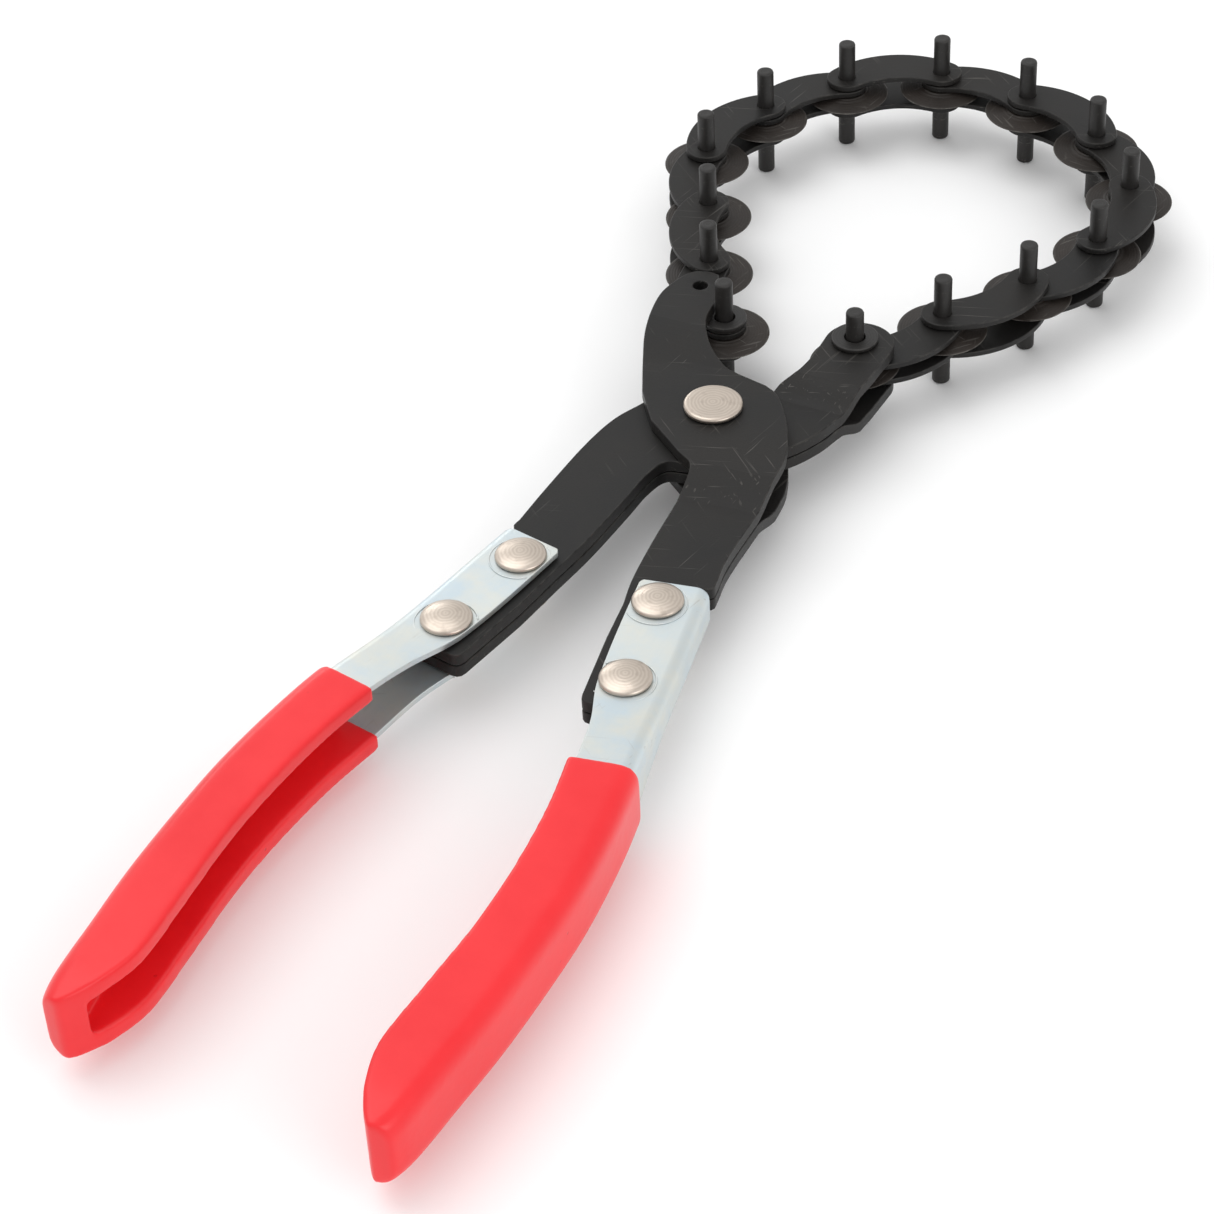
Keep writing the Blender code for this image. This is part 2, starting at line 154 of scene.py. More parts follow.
# %% Node helpers
def add(tree, kind, inputs=(), **settings):
    """Add a shader node; an input may be a number, a colour or another node's socket."""
    made = tree.nodes.new("ShaderNode" + kind)
    for name, value in settings.items():
        setattr(made, name, value)
    for name, value in dict(inputs).items():
        if isinstance(value, bpy.types.NodeSocket):
            tree.links.new(value, made.inputs[name])
        else:
            made.inputs[name].default_value = value
    return made


def maths(tree, operation, first, second=0.0, clamp=False):
    return add(tree, "Math", {0: first, 1: second}, operation=operation,
               use_clamp=clamp).outputs[0]


def remap(tree, value, low, high, to_low=0.0, to_high=1.0):
    """Stretch low..high of a value to to_low..to_high, and clip the rest."""
    return add(tree, "MapRange", {"Value": value, "From Min": low, "From Max": high,
                                  "To Min": to_low, "To Max": to_high}).outputs[0]


def blend_colours(tree, amount, first, second):
    """Mix two colours; each may be an RGB tuple or a socket."""
    mix = tree.nodes.new("ShaderNodeMix")
    mix.data_type = "RGBA"
    factor, colour_a, colour_b = mix.inputs[0], mix.inputs[6], mix.inputs[7]
    for socket, value in ((factor, amount), (colour_a, first), (colour_b, second)):
        if isinstance(value, bpy.types.NodeSocket):
            tree.links.new(value, socket)
        else:
            socket.default_value = (*value, 1) if isinstance(value, tuple) else value
    return mix.outputs[2]


def noise(tree, place, scale, detail=3.0, rough=0.5):
    return add(tree, "TexNoise", {"Vector": place, "Scale": scale, "Detail": detail,
                                  "Roughness": rough}).outputs["Fac"]


def stretched(tree, place, angle, times):
    """Turn a pattern about Z and stretch it this many times along its own X."""
    return add(tree, "Mapping", {"Vector": place, "Rotation": (0, 0, math.radians(angle)),
                                 "Scale": (times, 1, 1)}, vector_type="TEXTURE").outputs[0]


def new_group(name, inputs, outputs):
    """A shader node group with named number sockets; returns it and its two ends."""
    group = bpy.data.node_groups.new(name, "ShaderNodeTree")
    for label, value in inputs:
        socket = group.interface.new_socket(label, in_out="INPUT",
                                            socket_type="NodeSocketFloat")
        socket.default_value = value
    for label in outputs:
        group.interface.new_socket(label, in_out="OUTPUT", socket_type="NodeSocketFloat")
    return group, group.nodes.new("NodeGroupInput"), group.nodes.new("NodeGroupOutput")


def put_group(tree, group, **values):
    """Place a node group with its own values; underscores stand for spaces."""
    made = tree.nodes.new("ShaderNodeGroup")
    made.node_tree = group
    for name, value in values.items():
        made.inputs[name.replace("_", " ")].default_value = value
    return made.outputs


print("node helpers ready")

# %% [markdown]
# ## Worn edges
#
# Black oxide and plating rub through first where a corner is touched. One way to
# find corners is to compare the real normal with one that a Bevel node has rounded
# off: they only differ close to an edge. A noise then breaks the line, because a
# perfect outline looks drawn.

# %% Group: worn edges
FLAT, SHARP = 0.995, 0.80       # cosines between the real normal and the rounded one

worn_edges, given, result = new_group(
    "worn_edges", [("Width", 0.0004), ("Amount", 1.0), ("Patch Scale", 300.0)], ["Wear"])
place = add(worn_edges, "TexCoord").outputs["Object"]
soft = add(worn_edges, "Bevel", {"Radius": given.outputs["Width"]}, samples=4).outputs[0]
flat = add(worn_edges, "NewGeometry").outputs["Normal"]
likeness = add(worn_edges, "VectorMath", {0: soft, 1: flat}, operation="DOT_PRODUCT")
corner = remap(worn_edges, likeness.outputs["Value"], FLAT, SHARP)
patches = add(worn_edges, "TexNoise", {"Vector": place, "Scale": given.outputs["Patch Scale"],
                                       "Detail": 4.0}).outputs["Fac"]
broken = remap(worn_edges, patches, 0.38, 0.62)
wear = maths(worn_edges, "MULTIPLY", maths(worn_edges, "MULTIPLY", corner, broken),
             given.outputs["Amount"], clamp=True)
worn_edges.links.new(wear, result.inputs["Wear"])
print("group:", worn_edges.name)

# %% [markdown]
# ## Fine scratches
#
# A tool that lies in a box collects hair-fine scratches in all directions, and more
# of them in some places than in others. A noise that is stretched about twenty-five
# times along one direction and cut near its top gives thin, tapering strokes. Three
# directions are added, and a wide soft noise decides where they show.

# %% Group: fine scratches
DIRECTIONS = (17, 78, 139)      # degrees
STRETCH = 26                    # how much longer than wide a scratch is
CONTRAST = 18.0

fine_scratches, given, result = new_group(
    "fine_scratches", [("Scale", 900.0), ("Density", 0.5)], ["Scratches"])
place = add(fine_scratches, "TexCoord").outputs["Object"]
limit = remap(fine_scratches, given.outputs["Density"], 0.0, 1.0, 0.80, 0.62)
strokes = 0.0
for angle in DIRECTIONS:
    stroke = noise(fine_scratches, stretched(fine_scratches, place, angle, STRETCH),
                   given.outputs["Scale"], 1.5)
    cut_off = maths(fine_scratches, "MULTIPLY",
                    maths(fine_scratches, "SUBTRACT", stroke, limit), CONTRAST, clamp=True)
    strokes = maths(fine_scratches, "ADD", strokes, cut_off, clamp=True)
where = remap(fine_scratches, noise(fine_scratches, place, 55.0, 2.0), 0.42, 0.62)
fine_scratches.links.new(maths(fine_scratches, "MULTIPLY", strokes, where),
                         result.inputs["Scratches"])
print("group:", fine_scratches.name)

# %% [markdown]
# ## Smudges
#
# Oil and finger marks change how sharp a reflection is more than they change the
# colour. A coarse and a finer noise are multiplied, so that soft clouds have
# smaller cloudy edges, and each material decides what the clouds do.

# %% Group: smudges
smudges, given, result = new_group("smudges", [("Scale", 60.0)], ["Clouds", "Grain"])
place = add(smudges, "TexCoord").outputs["Object"]
wide = add(smudges, "TexNoise", {"Vector": place, "Scale": given.outputs["Scale"],
                                 "Detail": 5.0, "Roughness": 0.6}).outputs["Fac"]
small = noise(smudges, place, 2600.0, 3.0, 0.7)
smudges.links.new(remap(smudges, wide, 0.35, 0.68), result.inputs["Clouds"])
smudges.links.new(small, result.inputs["Grain"])
print("group:", smudges.name)

# %% [markdown]
# ## Turning marks
#
# Wheels, washers and rivet heads are spun against a cutter or a punch, which leaves
# fine rings about their axis. Each turned piece here has its own origin on that
# axis, so a Wave texture in rings about Z is centred on every one of them.

# %% Group: turning marks
turning_marks, given, result = new_group(
    "turning_marks", [("Scale", 700.0), ("Wander", 1.0)], ["Rings"])
place = add(turning_marks, "TexCoord").outputs["Object"]
rings = add(turning_marks, "TexWave", {"Vector": place, "Scale": given.outputs["Scale"],
                                       "Distortion": given.outputs["Wander"], "Detail": 2.0,
                                       "Detail Scale": 1.5},
            wave_type="RINGS", rings_direction="Z").outputs["Fac"]
turning_marks.links.new(rings, result.inputs["Rings"])
print("group:", turning_marks.name)

# %% [markdown]
# ## Four finishes
#
# Each finish below starts the same way: a Principled shader whose fixed values sit
# on its own sockets, a colour, a roughness and a height for its bump. One function
# ties those three together, so that each material only has to say what its own
# colour and roughness are made of.

# %% Tie colour, roughness and height to a shader
def new_material(name, **fixed):
    """A material with a Principled shader; fixed values go straight on its sockets."""
    made = bpy.data.materials.new(name)
    made.use_nodes = True
    shader = made.node_tree.nodes["Principled BSDF"]
    for label, value in fixed.items():
        shader.inputs[label.replace("_", " ")].default_value = value
    return made, made.node_tree, shader


def dress(tree, shader, colour, roughness, height, depth, metallic=None):
    """Link the changing values to the shader; depth is the height's size in metres."""
    tree.links.new(colour, shader.inputs["Base Color"])
    tree.links.new(roughness, shader.inputs["Roughness"])
    if metallic is not None:
        tree.links.new(metallic, shader.inputs["Metallic"])
    bump = add(tree, "Bump", {"Height": height, "Distance": depth, "Strength": 0.6})
    tree.links.new(bump.outputs[0], shader.inputs["Normal"])


print("shader helpers ready")

# %% [markdown]
# ### Black oxide steel
#
# The arms, links and pins are carbon steel with a thin black oxide. It is not
# paint: it is a satin skin, a little browner in places, and light grey metal shows
# along stamped edges and in scratches. Metallic follows the wear, because only bare
# steel reflects as a metal.

# %% Materials: three black oxide steels
BARE_STEEL = (0.19, 0.18, 0.165)


def oxide_steel(name, dark, warm, rub, gloss, rings=0.0):
    """Blackened steel; rings adds turning marks for pieces that were turned."""
    made, tree, shader = new_material(name, Specular_IOR_Level=gloss)
    cloud = put_group(tree, smudges, Scale=45.0)
    edge = put_group(tree, worn_edges, Width=0.00035, Amount=rub, Patch_Scale=420.0)["Wear"]
    hair = put_group(tree, fine_scratches, Scale=1500.0, Density=0.66)["Scratches"]
    colour = blend_colours(tree, cloud["Clouds"], dark, warm)
    speck = remap(tree, cloud["Grain"], 0.30, 0.75, 0.0, 0.35)
    colour = blend_colours(tree, speck, colour, tuple(value * 0.45 for value in dark))
    bare = maths(tree, "MAXIMUM", edge, maths(tree, "MULTIPLY", hair, 0.30))
    colour = blend_colours(tree, bare, colour, BARE_STEEL)
    rough = remap(tree, cloud["Clouds"], 0.0, 1.0, 0.40, 0.53)
    height = maths(tree, "SUBTRACT", cloud["Grain"], hair)
    if rings:
        ring = put_group(tree, turning_marks, Scale=520.0, Wander=0.6)["Rings"]
        rough = maths(tree, "ADD", rough, maths(tree, "MULTIPLY", ring, 0.08))
        height = maths(tree, "ADD", height, maths(tree, "MULTIPLY", ring, rings))
    dress(tree, shader, colour, rough, height, 0.00003,
          maths(tree, "MULTIPLY", bare, 0.8))
    return made


black_steel = oxide_steel("black_oxide_steel", (0.0125, 0.0122, 0.0120),
                          (0.019, 0.0172, 0.0155), 0.75, 0.22)
turned_steel = oxide_steel("turned_black_steel", (0.013, 0.0125, 0.012),
                           (0.021, 0.0185, 0.0165), 0.9, 0.42, 0.5)
wheel_steel = oxide_steel("wheel_steel", (0.021, 0.0172, 0.0148),
                          (0.031, 0.0245, 0.0205), 1.0, 0.26, 0.8)
print("made", black_steel.name, turned_steel.name, wheel_steel.name)

# %% [markdown]
# ### Zinc plate
#
# The handles are mild steel with a clear zinc finish. It is pale and bluish, with a
# faint yellow film that drifts in clouds, and it keeps the fine lines of the rolled
# sheet. Those lines come from a noise that is stretched along the sheet.

# %% Material: zinc plate
zinc, tree, shader = new_material("zinc_plate", Metallic=0.82)
place = add(tree, "TexCoord").outputs["Object"]
cloud = put_group(tree, smudges, Scale=38.0)
film = noise(tree, place, 70.0, 4.0, 0.65)
rolled = noise(tree, stretched(tree, place, 90, 20), 2200.0, 2.0)
hair = put_group(tree, fine_scratches, Scale=1400.0, Density=0.60)["Scratches"]
edge = put_group(tree, worn_edges, Width=0.0003, Amount=0.7, Patch_Scale=250.0)["Wear"]
colour = blend_colours(tree, remap(tree, film, 0.36, 0.64), (0.56, 0.645, 0.69),
                       (0.68, 0.68, 0.62))
colour = blend_colours(tree, maths(tree, "MULTIPLY", cloud["Clouds"], 0.55), colour,
                       (0.56, 0.60, 0.60))
colour = blend_colours(tree, maths(tree, "MULTIPLY", hair, 0.35), colour, (0.36, 0.33, 0.29))
colour = blend_colours(tree, edge, colour, (0.86, 0.86, 0.84))
rough = maths(tree, "ADD", remap(tree, cloud["Clouds"], 0.0, 1.0, 0.34, 0.46),
              maths(tree, "MULTIPLY", rolled, 0.10))
dress(tree, shader, colour, rough, maths(tree, "SUBTRACT", rolled, hair), 0.00002)
print("made", zinc.name)

# %% [markdown]
# ### Rivet nickel
#
# The rivet heads were pressed with a spinning punch. They are warmer than the zinc
# and carry wandering rings, with a dark smear of oil at one side.

# %% Material: rivet nickel
nickel, tree, shader = new_material("rivet_nickel", Metallic=1.0)
cloud = put_group(tree, smudges, Scale=150.0)
ring = put_group(tree, turning_marks, Scale=430.0, Wander=2.6)["Rings"]
hair = put_group(tree, fine_scratches, Scale=1100.0, Density=0.6)["Scratches"]
edge = put_group(tree, worn_edges, Width=0.0003, Amount=0.6, Patch_Scale=400.0)["Wear"]
colour = blend_colours(tree, ring, (0.52, 0.450, 0.385), (0.60, 0.530, 0.460))
smear = remap(tree, cloud["Clouds"], 0.55, 1.0, 0.0, 0.65)
colour = blend_colours(tree, smear, colour, (0.30, 0.25, 0.21))
colour = blend_colours(tree, edge, colour, (0.88, 0.84, 0.76))
rough = maths(tree, "ADD", remap(tree, cloud["Clouds"], 0.0, 1.0, 0.26, 0.42),
              maths(tree, "MULTIPLY", ring, 0.06))
dents = noise(tree, add(tree, "TexCoord").outputs["Object"], 260.0, 2.0)
height = maths(tree, "ADD", maths(tree, "MULTIPLY", ring, 0.12), dents)
dress(tree, shader, colour, rough, maths(tree, "SUBTRACT", height, hair), 0.00012)
print("made", nickel.name)

# %% [markdown]
# ### Red vinyl
#
# The grips are hot steel dipped in liquid vinyl. It cures with a soft gloss, a very
# faint orange peel and a few pinholes where air came out. A coat layer gives the
# tight highlight on the lips, and small Voronoi dots make the pinholes: the bump
# sinks them, and their darker red is painted shade inside them.

# %% Material: red vinyl
vinyl, tree, shader = new_material("dipped_red_vinyl", Specular_IOR_Level=0.38,
                                   Coat_Weight=0.12, Coat_Roughness=0.15)
place = add(tree, "TexCoord").outputs["Object"]
cloud = put_group(tree, smudges, Scale=30.0)
peel = noise(tree, place, 420.0, 2.0)
cells = add(tree, "TexVoronoi", {"Vector": place, "Scale": 330.0}).outputs["Distance"]
few = remap(tree, noise(tree, place, 60.0, 1.0), 0.60, 0.66)
pinholes_and_their_shade = maths(tree, "MULTIPLY", remap(tree, cells, 0.14, 0.06), few)
colour = blend_colours(tree, cloud["Clouds"], (0.76, 0.010, 0.016), (0.83, 0.020, 0.026))
# The pinholes are painted a darker red: painted shade inside the little hollows.
colour = blend_colours(tree, maths(tree, "MULTIPLY", pinholes_and_their_shade, 0.6), colour, (0.45, 0.006, 0.010))
rough = remap(tree, cloud["Clouds"], 0.0, 1.0, 0.30, 0.40)
dress(tree, shader, colour, rough, maths(tree, "SUBTRACT", peel, pinholes_and_their_shade), 0.00006)
print("made", vinyl.name)

# %% [markdown]
# ## From outlines to meshes
#
# Most of the tool is punched from flat steel. A filled 2D curve is a good punch: it
# takes an outline and its holes, thickens them and rounds the rim in one go. It is
# made in millimetres, where its numbers are of a comfortable size, and scaled down
# when it becomes a mesh.

# %% Outlines
def arc(centre, radius, start, end, steps):
    """Points along an arc, in degrees, both ends included."""
    angles = [math.radians(start + (end - start) * i / steps) for i in range(steps + 1)]
    return [(centre[0] + radius * math.cos(a), centre[1] + radius * math.sin(a))
            for a in angles]


def circle(centre, radius, sides=40):
    return arc(centre, radius, 0, 360, sides)[:-1]


def smooth_run(points, steps=9):
    """A smooth run through the points (Catmull-Rom), both ends included."""
    points = [Vector(p) for p in points]
    padded = [2 * points[0] - points[1], *points, 2 * points[-1] - points[-2]]
    run = []
    for a, b, c, d in zip(padded, padded[1:], padded[2:], padded[3:]):
        for i in range(steps):
            t = i / steps
            run.append(0.5 * ((2 * b) + (c - a) * t + (2 * a - 5 * b + 4 * c - d) * t**2
                              + (3 * b - a - 3 * c + d) * t**3))
    return [tuple(p) for p in run + [points[-1]]]


print("a smooth run of 3 points has", len(smooth_run([(0, 0), (1, 1), (2, 0)])), "points")

# %% Punch a plate
RIM = 0.24                      # radius of a stamped edge, mm


def place_piece(name, mesh, material, body, nodes, at=PIVOT, spin=0.0):
    """Show a mesh at a place, on a body, in place of CAD nodes."""
    item = bpy.data.objects.new(name, mesh)
    item.location = at
    item.rotation_euler.z = spin
    bpy.context.collection.objects.link(item)
    mesh.materials.clear()
    mesh.materials.append(material)
    mesh.shade_smooth()
    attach(item, body)
    if nodes:
        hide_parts(*nodes)
    return item


def outward(mesh):
    """Turn the faces of a closed mesh to look out of it."""
    work = bmesh.new()
    work.from_mesh(mesh)
    bmesh.ops.recalc_face_normals(work, faces=work.faces)
    work.to_mesh(mesh)
    work.free()
    return mesh


def even_shading(item):
    """Let the large flat faces decide how the rounded rims are shaded."""
    item.modifiers.new("even_shading", "WEIGHTED_NORMAL").keep_sharp = True


def applied(item):
    """The item's mesh with its modifiers applied; the item is removed."""
    ready = item.evaluated_get(bpy.context.evaluated_depsgraph_get())
    mesh = bpy.data.meshes.new_from_object(ready)
    bpy.data.objects.remove(item)
    return mesh


def punch(name, rings, levels, bend=None, lower=False):
    """A plate from closed rings, between two levels above the mid-plane, in metres.

    bend takes a bmesh in millimetres and folds it; lower mirrors the plate below.
    """
    low, high = levels
    sheet = bpy.data.curves.new(name, "CURVE")
    sheet.dimensions = "2D"
    sheet.fill_mode = "BOTH"
    sheet.extrude = (high - low) / 2 - RIM
    sheet.bevel_depth = RIM
    sheet.bevel_resolution = 2
    sheet.offset = -RIM
    for ring in rings:
        line = sheet.splines.new("POLY")
        line.points.add(len(ring) - 1)
        for point, (x, y) in zip(line.points, ring):
            point.co = (x, y, 0, 1)
        line.use_cyclic_u = True
    item = bpy.data.objects.new(name, sheet)
    bpy.context.collection.objects.link(item)
    mesh = applied(item)
    work = bmesh.new()
    work.from_mesh(mesh)
    bmesh.ops.remove_doubles(work, verts=work.verts, dist=0.0005)
    bmesh.ops.translate(work, verts=work.verts, vec=(0, 0, (low + high) / 2))
    if bend:
        bend(work)
    scale = Matrix.Diagonal((MM, MM, -MM if lower else MM, 1))
    bmesh.ops.transform(work, matrix=scale, verts=work.verts)
    bmesh.ops.recalc_face_normals(work, faces=work.faces)
    work.to_mesh(mesh)
    work.free()
    return mesh


trial = punch("trial", [circle((0, 0), 5), circle((0, 0), 2)], (0, 2))
print("a trial washer has", len(trial.polygons), "faces")
bpy.data.meshes.remove(trial)

# %% [markdown]
# ## The turned pieces
#
# Pins, wheels, washers and rivets are round, so one lathe serves them all: a half
# profile of radius and height is turned about Z. The height is mirrored where both
# faces are the same, and the object keeps its origin on the axis, which the
# turning marks need.

# %% A lathe
def lathe(name, profile, sides=64):
    """Turn a run of (radius, height), in mm, about Z. Radius 0 closes it on the axis."""
    points, faces, rows = [], [], []
    for radius, height in profile:
        if radius:
            rows.append(list(range(len(points), len(points) + sides)))
            points += [(x * MM, y * MM, height * MM) for x, y in circle((0, 0), radius, sides)]
        else:
            rows.append([len(points)] * sides)
            points.append((0, 0, height * MM))
    pairs = list(zip(rows, rows[1:]))
    if profile[0][0]:
        pairs.append((rows[-1], rows[0]))
    for low, high in pairs:
        for i in range(sides):
            j = (i + 1) % sides
            faces.append(tuple(dict.fromkeys((low[i], low[j], high[j], high[i]))))
    mesh = bpy.data.meshes.new(name)
    mesh.from_pydata(points, [], faces)
    return outward(mesh)


def both_ways(half):
    """Mirror a profile that runs up from the mid-plane to its top."""
    return [(r, -z) for r, z in half[::-1]] + half


print("lathe ready")

# %% [markdown]
# ## The chain
#
# Links come in two kinds, as on a bicycle chain. An inner link is a pair of plates
# next to the wheels. An outer link lies outside them and carries two long pins,
# which stick out like studs. Each plate is a kidney: two round ends, a high outer
# edge and a hollow inner one, so that the chain can close round a small pipe.

# %% Measure and draw a link
LINK_END = 4.6
LINK_CREST = 8.7
LINK_DIP = -1.6
PIN_RADIUS = 1.9
PIN_HOLE = 2.2
PIN_REACH = 13.2
INNER_LEVELS = (1.3, 2.6)
OUTER_LEVELS = (2.95, 4.25)


def link_outline():
    """Round ends on pins at 0 and PITCH, joined by two wide arcs."""
    half = PITCH / 2
    crest = (half**2 + LINK_CREST**2 - LINK_END**2) / (2 * (LINK_CREST - LINK_END))
    dip = (half**2 + LINK_DIP**2 - LINK_END**2) / (2 * (LINK_END + LINK_DIP))
    crest_at, dip_at = (half, LINK_CREST - crest), (half, LINK_DIP - dip)
    up = math.degrees(math.atan2(-crest_at[1], -half))
    down = math.degrees(math.atan2(-dip_at[1], -half))
    outline = arc((0, 0), LINK_END, up, down + 180, 20)
    outline += arc(dip_at, dip, down, 180 - down, 14)[1:-1]
    outline += arc((PITCH, 0), LINK_END, -down, 180 - up, 20)
    outline += arc(crest_at, crest, 180 - up, up, 20)[1:-1]
    return outline


outline = link_outline()
print("a link plate has", len(outline), "points round its rim")

# %% Pins with staked ends
GROOVE = 0.07                   # depth of the faint line left by the staking tool
PIN_SPIN = 1.1                  # turns each pin a little further, in radians
half_pin = [(PIN_RADIUS, PIN_REACH - 2.3), (PIN_RADIUS - GROOVE, PIN_REACH - 2.15),
            (PIN_RADIUS, PIN_REACH - 2.0), (PIN_RADIUS, PIN_REACH - 0.45),
            (PIN_RADIUS - 0.12, PIN_REACH - 0.16), (PIN_RADIUS - 0.42, PIN_REACH),
            (PIN_RADIUS - 0.9, PIN_REACH - 0.03), (0, PIN_REACH - 0.06)]


def make_pin(index, body, nodes):
    """The pin of wheel index, which stands out at both faces of the chain."""
    mesh = lathe(f"pin_{index:02d}", both_ways(half_pin), 40)
    even_shading(place_piece(mesh.name, mesh, turned_steel, body, nodes,
                             PINS[index - 1], PIN_SPIN * index))


print("pin length", 2 * PIN_REACH, "mm")

# %% Lay the plates along the chain
def lay_on(ring, start, end):
    """Lay a ring from the link's own place to pins start and end, in mm from the pivot."""
    along = (end - start).normalized()
    left = Vector((-along.y, along.x, 0))
    origin = (start - PIVOT) / MM
    return [tuple((origin + along * x + left * y)[:2]) for x, y in ring]


def make_link(index):
    """The two plates between wheels index and index + 1, and the pins of an outer link."""
    start, end = PINS[index - 1], PINS[index]
    body = f"link_{index:02d}_{index + 1:02d}"
    inner = index % 2 == 1
    levels = INNER_LEVELS if inner else OUTER_LEVELS
    ends = ((0, 0), (PITCH, 0))
    hole = PIN_HOLE if inner else PIN_RADIUS
    rings = [lay_on(ring, start, end)
             for ring in (outline, *(circle(place, hole) for place in ends))]
    nodes = (f"{body}_plate_upper", f"{body}_plate_lower" + ("" if inner else "_with_pins"))
    for node, lower in zip(nodes, (False, True)):
        name = f"{'inner' if inner else 'outer'}_{body}_{'lower' if lower else 'upper'}"
        mesh = punch(name, rings, levels, lower=lower)
        even_shading(place_piece(name, mesh, black_steel, body, [node]))
    if not inner:
        make_pin(index, body, [nodes[1]])
        make_pin(index + 1, body, [nodes[1]])


for index in range(1, WHEELS):
    make_link(index)
make_pin(1, "link_01_02", ["chain_pin_01"])
make_pin(WHEELS, "jaw_arm", ["chain_pin_14"])

# %% [markdown]
# ## The cutting wheels
#
# Each wheel is a thin steel disc that runs down to a sharp edge, with a thicker hub
# that spaces it between the plates. The profile has two small steps at the hub, then
# a long shallow cone, and a short steeper bevel ground on the rim.

# %% Turn fourteen wheels and their spacers
WHEEL_RADIUS = 9.5
half_wheel = [(9.47, 0.035), (9.05, 0.16), (8.9, 0.17), (5.75, 0.60), (5.62, 0.64),
              (5.55, 0.70), (4.95, 0.74), (4.78, 0.80), (4.66, 0.93), (4.52, 1.0),
              (2.35, 1.0), (2.2, 0.9)]
wheel_profile = [(WHEEL_RADIUS, 0.0)] + half_wheel + [(r, -z) for r, z in half_wheel[::-1]]
upper_spacer = [(3.95, 1.04), (4.05, 1.08), (4.05, 1.20), (3.95, 1.26), (2.3, 1.26),
                (2.3, 1.04)]


def make_wheel(index):
    """A disc and its two spacers; quarter turns don't widen their boxes."""
    body = f"wheel_{index:02d}"
    at, spin = PINS[index - 1], math.pi / 2 * index
    mesh = lathe(f"cutting_wheel_disc_{index:02d}", wheel_profile, 96)
    even_shading(place_piece(mesh.name, mesh, wheel_steel, body,
                             [f"cutting_wheel_{index:02d}"], at, spin))
    for side, label in ((1, "upper"), (-1, "lower")):
        profile = [(r, side * z) for r, z in upper_spacer]
        mesh = lathe(f"spacer_{index:02d}_{label}", profile)
        even_shading(place_piece(mesh.name, mesh, turned_steel, body, [],
                                 at, spin))


for index in range(1, WHEELS + 1):
    make_wheel(index)
print("wheel diameter", 2 * WHEEL_RADIUS, "mm")

# %% Washers on the two end pins
WASHER_RIM = 0.22               # radius of the round edge that faces outwards, mm
RIM_KNEE = 0.07                 # how far the middle of that edge is cut back, mm


def make_washer(number, label, side, levels, radius, body):
    """A washer between two levels from the mid-plane, above it or mirrored below."""
    low, high = levels
    profile = [(PIN_HOLE, low), (radius - 0.1, low), (radius, low + 0.1),
               (radius, high - WASHER_RIM), (radius - RIM_KNEE, high - RIM_KNEE),
               (radius - WASHER_RIM, high), (PIN_HOLE + 0.25, high), (PIN_HOLE, high - 0.15)]
    mesh = lathe(f"end_washer_{number:02d}_{label}", [(r, side * z) for r, z in profile], 72)
    even_shading(place_piece(mesh.name, mesh, turned_steel, body,
                             [f"chain_pin_{number:02d}_washer_{label}"], PINS[number - 1]))


for label, side in (("upper", 1), ("lower", -1)):
    make_washer(1, label, side, (2.95, 4.3), 4.7, "link_01_02")
    make_washer(WHEELS, label, side, (6.0, 6.9), 4.9, "jaw_arm")
print("washers made")

# %% [markdown]
# ## The two arms
#
# Each arm is a pair of punched plates. The jaw arm's plates lie together in the
# handle and spread in front of the pivot to hold the chain between them. The hook
# arm does the reverse: it holds the jaw arm between its plates and then closes. The
# spread is a double fold, which is made by slicing the flat plate with many
# parallel cuts and lifting the points between the first cut and the last.

# %% Handle directions
def handle_frame(label, side):
    """The front rivet's place and the directions back and out of a handle."""
    front = middle(f"{label}_rivet_front")
    back = (middle(f"{label}_rivet_rear") - front).normalized()
    return front, back, Vector((-back.y, back.x, 0)) * side


HANDLES = {"left": handle_frame("left", -1), "right": handle_frame("right", 1)}


def on_handle(label, u, v):
    """A flat point, in mm from the pivot: u behind the front rivet, v towards the web."""
    front, back, out = HANDLES[label]
    return tuple(((front - PIVOT) / MM + back * u + out * v)[:2])


spread = HANDLES["left"][1].angle(HANDLES["right"][1])
print("handles spread by", round(math.degrees(spread), 1), "degrees")

# %% Fold a plate along two lines
SLICES = 7                      # strips between the two lines of a fold
EVEN = 0.55                     # share of the rise that is even; the rest eases in and out


def distance(point, line):
    """Signed distance of a point from a line, seen from above."""
    along = (line[1] - line[0]).normalized()
    away = point - line[0]
    return along.x * away.y - along.y * away.x


def fold(work, first, second, rise):
    """Lift the part of a plate beyond the second line, with a round bend at each line."""
    first, second = ([Vector((*p, 0)) for p in line] for line in (first, second))
    for i in range(SLICES + 1):
        a, b = (p.lerp(q, i / SLICES) for p, q in zip(first, second))
        across = (b - a).cross(Vector((0, 0, 1))).normalized()
        bmesh.ops.bisect_plane(work, geom=work.verts[:] + work.edges[:] + work.faces[:],
                               plane_co=a, plane_no=across, dist=0.0001)
    for point in work.verts:
        gone, left = (distance(point.co, line) for line in (first, second))
        t = min(max(gone / (gone - left), 0), 1)
        point.co.z += rise * (EVEN * t + (1 - EVEN) * t * t * (3 - 2 * t))


print("folds are cut into", SLICES, "strips")

# %% Draw and punch the arms
def tang(label):
    """The narrow rear of an arm, from its outer shoulder round to its inner edge."""
    shoulder = [(-9.5, 8.9), (-8.6, 8.8), (-8.0, 8.3), (-7.6, 6.8)]
    rear = [(25.6, 6.8), (27.0, 6.3), (27.9, 5.2), (28.5, 4.0), (28.7, 3.0), (28.7, -5.6),
            (28.4, -6.6), (27.7, -7.2), (26.6, -7.4), (10.0, -7.4)]
    return [on_handle(label, *p) for p in shoulder + rear]


